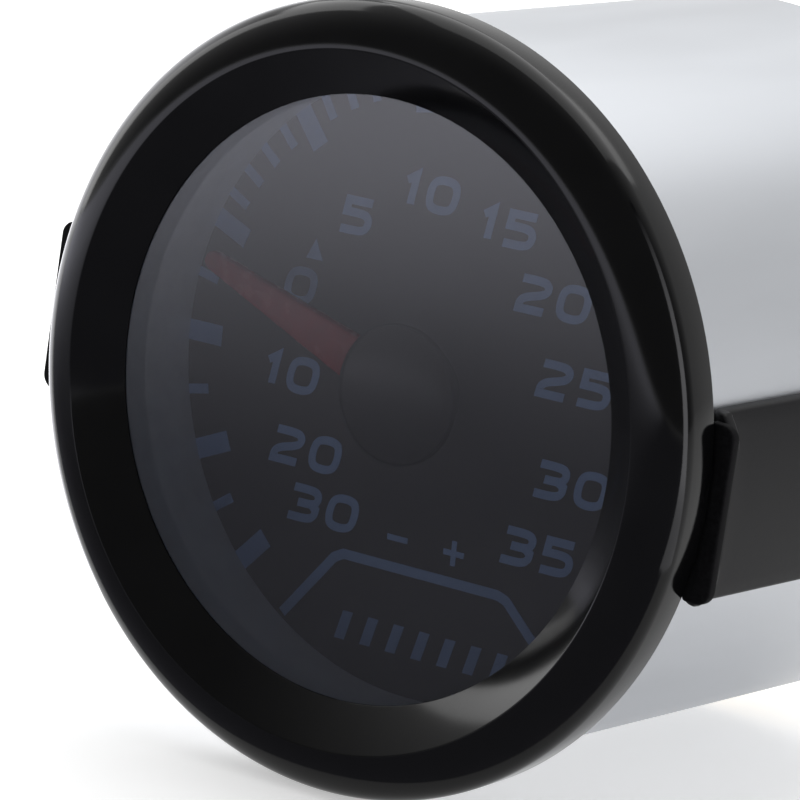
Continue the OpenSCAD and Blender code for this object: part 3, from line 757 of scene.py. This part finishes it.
def build_studs():
    """The two threaded studs with their heads inside the case, and their nuts, washers and thumb nuts."""
    around = 48
    head_r = 3.5
    head_front = REAR_IN - 1.0
    tip_r = 1.35
    tip_long = 0.35
    head = [(0.0, head_front), (head_r, head_front), (head_r, REAR_IN), (0.0, REAR_IN)]
    bm = bmesh.new()
    for at in STUDS:
        spin_profile(bm, head, at, around)
        loops = thread_loops(bm, at, 1.69, STUD_R - 0.02, REAR_IN, STUD_END - tip_long, 0.7, around, 0.35)
        loops.append(ring(bm, at, [tip_r] * around, STUD_END))
        skin(bm, loops, capped=True)
    make_object(bm, "threaded_studs", "housing", ZINC, ("clamp_studs",), sharp=60.0)
    bm = bmesh.new()
    for at in STUDS:
        add_hex_nut(bm, at, 7.0, STUD_R, CASE_BACK + 0.01, CASE_BACK + 2.4, 20.0, 0.35)
    make_object(bm, "stud_hex_nuts", "housing", ZINC, ("stud_nuts",), sharp=25.0)
    washer_in = 2.3
    washer_out = 4.3
    washer_front = BAR_BACK + 0.02
    washer_back = THUMB_FRONT - 0.1
    washer = rounded([(washer_in, washer_front), (washer_out, washer_front), (washer_out, washer_back),
                      (washer_in, washer_back)], 0.12, 3)
    bm = bmesh.new()
    for at in STUDS:
        spin_profile(bm, washer, at, 72)
    make_object(bm, "bracket_round_washers", "clamp_set", ZINC, ("bracket_washers",))
    for name, at, body, node in (("left_thumb_nut", STUDS[0], "left_nut", "thumb_nut_left"),
                                 ("right_thumb_nut", STUDS[1], "right_nut", "thumb_nut_right")):
        bm = bmesh.new()
        add_thumb_nut(bm, at)
        make_object(bm, name, body, BRASS, (node,), sharp=28.0)


def build_port():
    """The threaded port with its bore, its hexagonal nut and its washer."""
    at = (0.0, PORT_Z)
    around = 64
    thread_end = 52.5
    end = 53.0
    bore = 1.5
    sink = 0.25
    bm = bmesh.new()
    loops = thread_loops(bm, at, 4.68, 5.13, 46.05, thread_end, 0.94, around, 0.5)
    for r, y in ((4.4, end), (bore + sink, end), (bore, end - sink), (bore, 46.0)):
        loops.append(ring(bm, at, [r] * around, y))
    skin(bm, loops, closed=True)
    make_object(bm, "port_thread", "housing", BRASS, sharp=60.0)
    bm = bmesh.new()
    add_hex_nut(bm, at, 14.0, 4.67, 44.01, 45.98, 0.0, 0.4)
    make_object(bm, "port_hex_nut", "housing", BRASS, ("port_nut",), sharp=25.0)
    inner = 4.85
    outer = 7.75
    front = CASE_BACK + 0.01
    back = 43.99
    washer = rounded([(inner, front), (outer, front), (outer, back), (inner, back)], 0.12, 3)
    spun("port_round_washer", washer, "housing", ZINC, ("port_washer",), at=at, count=96)


def build_grommet():
    """The moulded grommet, with a groove that grips the rim of the hole in the case's back."""
    bore = 2.4
    groove = 3.98
    outer = 5.6
    front = 41.4
    back = 44.6
    profile = [(bore, front), (outer, front), (outer, REAR_IN), (groove, REAR_IN), (groove, CASE_BACK),
               (outer, CASE_BACK), (outer, back), (bore, back)]
    spun("lead_grommet_moulded", rounded(profile, [0.3, 0.4, 0.1, 0.1, 0.1, 0.1, 0.45, 0.4], 4), "housing",
         RUBBER, ("lead_grommet",), at=(0.0, GROMMET_Z), count=96)


CAD_FINISH = {
    "lens_gasket": RUBBER, "spacer_ring": SPACER_PLASTIC, "dial_plate": DIAL_FILM, "light_guide": CLEAR,
    "light_housing": WHITE, "lamp_board": BOARD, "lamps": LAMP, "case_back": CASE_METAL,
    "pointer_hub": CAP_BLACK, "pointer_arbor": STEEL, "pinion": BRASS, "hairspring_collet": BRASS,
    "hairspring": SPRING, "hairspring_stud": BRASS, "front_plate": BRASS, "rear_plate": BRASS,
    "pillars": BRASS, "plate_screws": STEEL, "movement_screws": STEEL, "sector_gear": BRASS,
    "sector_arbor": STEEL, "link_pin": STEEL, "link": STEEL, "bourdon_tube": BRONZE, "tube_tip": BRASS,
    "tip_pin": STEEL, "pressure_socket": BRASS,
}


def finish_nodes():
    """Gives each built node that still shows its own finish."""
    for name, material in CAD_FINISH.items():
        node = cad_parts[name]
        node.data.materials.clear()
        node.data.materials.append(material)
        node.data.polygons.foreach_set("use_smooth", [True] * len(node.data.polygons))
        weld = node.modifiers.new("weld", "WELD")
        weld.merge_threshold = 0.000002
        node.modifiers.new("edges", "EDGE_SPLIT").split_angle = math.radians(35)


# Studio, with its lengths in metres

FLOOR_Z = -0.02786
FLOOR_CARD_Z = -0.0272
CARD_FOOT_Z = -0.027
# Brightness of the cards that paint reflections and highlights on the gauge
PAINTED_REFLECTION_WHITE = (2.6, 2.6, 2.7)
PAINTED_HIGHLIGHT_WHITE = (5.0, 5.0, 5.2)


def ray_mask(tree, *kinds):
    """One where any of the named kinds of ray arrives."""
    path = tree.nodes.new("ShaderNodeLightPath")
    value = path.outputs[kinds[0]]
    for kind in kinds[1:]:
        either = tree.nodes.new("ShaderNodeMath")
        either.operation = "MAXIMUM"
        tree.links.new(value, either.inputs[0])
        tree.links.new(path.outputs[kind], either.inputs[1])
        value = either.outputs["Value"]
    return value


def build_floor():
    """A pale floor that keeps the gauge's shadow, with light added for the rays that show it."""
    bpy.ops.mesh.primitive_plane_add(size=6.0, location=(0.0, 0.0, FLOOR_Z))
    floor = bpy.context.object
    floor.name = "studio_floor"
    material, tree, shader = new_material("studio_floor_white")
    shader.inputs["Base Color"].default_value = (0.80, 0.80, 0.80, 1.0)
    shader.inputs["Roughness"].default_value = 0.9
    shader.inputs["Specular IOR Level"].default_value = 0.0
    seen = ray_mask(tree, "Is Camera Ray", "Is Glossy Ray", "Is Transmission Ray")
    glow = ramp(tree, seen, (0.0, 0.0, 0.0), (0.45, 0.45, 0.45), 0.0, 1.0)
    tree.links.new(glow, shader.inputs["Emission Color"])
    shader.inputs["Emission Strength"].default_value = 1.0
    floor.data.materials.append(material)


def smooth_along(tree, output, along, start, end):
    """A smooth step of how far a point lies along a direction, from start to end."""
    place = tree.nodes.new("ShaderNodeTexCoord")
    dot = tree.nodes.new("ShaderNodeVectorMath")
    dot.operation = "DOT_PRODUCT"
    dot.inputs[1].default_value = along
    tree.links.new(place.outputs[output], dot.inputs[0])
    step = tree.nodes.new("ShaderNodeMapRange")
    step.interpolation_type = "SMOOTHSTEP"
    step.inputs["From Min"].default_value = start
    step.inputs["From Max"].default_value = end
    tree.links.new(dot.outputs["Value"], step.inputs["Value"])
    return step


def build_card(name, corners, near, far, along, reach):
    """A glowing card that only reflections see, which paints a reflection on the gauge and lights nothing;
    its brightness runs from near to far along a direction.
    """
    mesh = bpy.data.meshes.new(name)
    mesh.from_pydata([tuple(c) for c in corners], [], [(0, 1, 2, 3)])
    card = bpy.data.objects.new(name, mesh)
    bpy.context.scene.collection.objects.link(card)
    material, tree, shader = new_material(name + "_paint")
    step = smooth_along(tree, "Object", along, reach[0], reach[1])
    shader.inputs["Base Color"].default_value = (0.01, 0.01, 0.01, 1.0)
    shader.inputs["Roughness"].default_value = 1.0
    shader.inputs["Specular IOR Level"].default_value = 0.0
    tree.links.new(ramp(tree, step.outputs["Result"], near, far, 0.0, 1.0), shader.inputs["Emission Color"])
    shader.inputs["Emission Strength"].default_value = 1.0
    mesh.materials.append(material)
    # Hidden from the camera, from lighting and from shadows, so the card is only a painted reflection
    card.visible_camera = False
    card.visible_diffuse = False
    card.visible_shadow = False


def build_cards():
    """Cards that paint reflections on the gauge: on the floor in front, dark near the gauge for painted shade
    in its reflections; on the floor and upright at the left for a painted light band; and two at the right
    for a painted highlight line.
    """
    front_near = -0.0055
    front_far = -1.2
    # Dark near the gauge: painted shade where the gauge reflects the floor in front of it
    build_card("front_floor_card",
               [(-0.9, front_near, FLOOR_CARD_Z), (0.9, front_near, FLOOR_CARD_Z),
                (0.9, front_far, FLOOR_CARD_Z), (-0.9, front_far, FLOOR_CARD_Z)],
               (0.26, 0.26, 0.30), (2.4, 2.4, 2.7), (-0.80, -0.60, 0.0), (0.08, 0.33))
    # These two at the left paint a light band on the left of the bezel
    build_card("left_floor_card",
               [(-0.40, 0.006, FLOOR_CARD_Z), (-0.040, 0.006, FLOOR_CARD_Z),
                (-0.040, 0.25, FLOOR_CARD_Z), (-0.40, 0.25, FLOOR_CARD_Z)],
               PAINTED_REFLECTION_WHITE, PAINTED_REFLECTION_WHITE, (0.0, 1.0, 0.0), (0.0, 0.2))
    build_card("left_side_card",
               [(-0.45, 0.02, CARD_FOOT_Z), (-0.45, 0.02, 0.30),
                (-0.45, 0.45, 0.30), (-0.45, 0.45, CARD_FOOT_Z)],
               PAINTED_REFLECTION_WHITE, (1.0, 1.0, 1.0), (0.0, 0.0, 1.0), (0.10, 0.30))
    # These two at the right paint the bright highlight line on the right of the bezel
    build_card("right_strip_card",
               [(0.30, -0.025, CARD_FOOT_Z), (0.30, 0.065, CARD_FOOT_Z),
                (0.30, 0.065, 0.40), (0.30, -0.025, 0.40)],
               PAINTED_HIGHLIGHT_WHITE, (0.0, 0.0, 0.0), (0.0, 0.0, 1.0), (0.05, 0.40))
    build_card("right_floor_strip",
               [(0.06, -0.014, CARD_FOOT_Z), (0.30, -0.025, CARD_FOOT_Z), (0.30, 0.065, CARD_FOOT_Z),
                (0.06, 0.018, CARD_FOOT_Z)],
               (2.5, 2.5, 2.6), PAINTED_HIGHLIGHT_WHITE, (1.0, 0.0, 0.0), (0.06, 0.20))


def area_light(name, place, target, size, energy):
    """A soft rectangular lamp aimed at a point."""
    data = bpy.data.lights.new(name, "AREA")
    data.shape = "RECTANGLE"
    data.size = size[0]
    data.size_y = size[1]
    data.energy = energy
    lamp = bpy.data.objects.new(name, data)
    bpy.context.scene.collection.objects.link(lamp)
    lamp.location = place
    aim = Vector(target) - Vector(place)
    lamp.rotation_euler = aim.to_track_quat("-Z", "Y").to_euler()


def build_world():
    """White to the camera. To other rays it is brighter behind the gauge, left and up, than in front."""
    world = bpy.data.worlds.new("studio_world")
    bpy.context.scene.world = world
    world.use_nodes = True
    tree = world.node_tree
    background = next(n for n in tree.nodes if n.type == "BACKGROUND")
    behind = smooth_along(tree, "Generated", (-0.50, 0.80, 0.30), -0.25, 0.55)
    behind.inputs["To Min"].default_value = 0.22
    behind.inputs["To Max"].default_value = 0.84

    mix = tree.nodes.new("ShaderNodeMix")
    mix.data_type = "FLOAT"
    tree.links.new(ray_mask(tree, "Is Camera Ray"), mix.inputs[0])
    tree.links.new(behind.outputs["Result"], mix.inputs[2])
    mix.inputs[3].default_value = 1.0
    tree.links.new(mix.outputs[0], background.inputs["Strength"])
    background.inputs["Color"].default_value = (1.0, 1.0, 1.0, 1.0)


def build_camera():
    """The camera that saw the photo."""
    data = bpy.data.cameras.new("main_camera")
    data.lens = 264.02
    data.sensor_width = 36.0
    data.clip_start = 0.02
    data.clip_end = 20.0
    camera = bpy.data.objects.new("main_camera", data)
    bpy.context.scene.collection.objects.link(camera)
    right = Vector((0.78874, 0.60712, 0.09641))
    up = Vector((-0.19658, 0.10050, 0.97532))
    back = Vector((0.58245, -0.78823, 0.19862))
    turn = Matrix((right, up, back)).transposed().to_4x4()
    camera.matrix_world = Matrix.Translation((0.237773, -0.319817, 0.080699)) @ turn
    bpy.context.scene.camera = camera


build_bezel()
build_lens()
build_case()
build_dial()
build_pointer()
build_bracket()
build_pads()
build_studs()
build_port()
build_grommet()
finish_nodes()
build_floor()
build_world()
area_light("top_soft_lamp", (-0.10, 0.35, 0.75), (0.0, 0.02, 0.0), (0.9, 0.9), 4.0)
area_light("left_soft_lamp", (-0.65, 0.10, 0.30), (0.0, 0.0, 0.0), (0.5, 0.7), 3.0)
build_cards()
build_camera()
bpy.context.scene.view_settings.view_transform = "Standard"
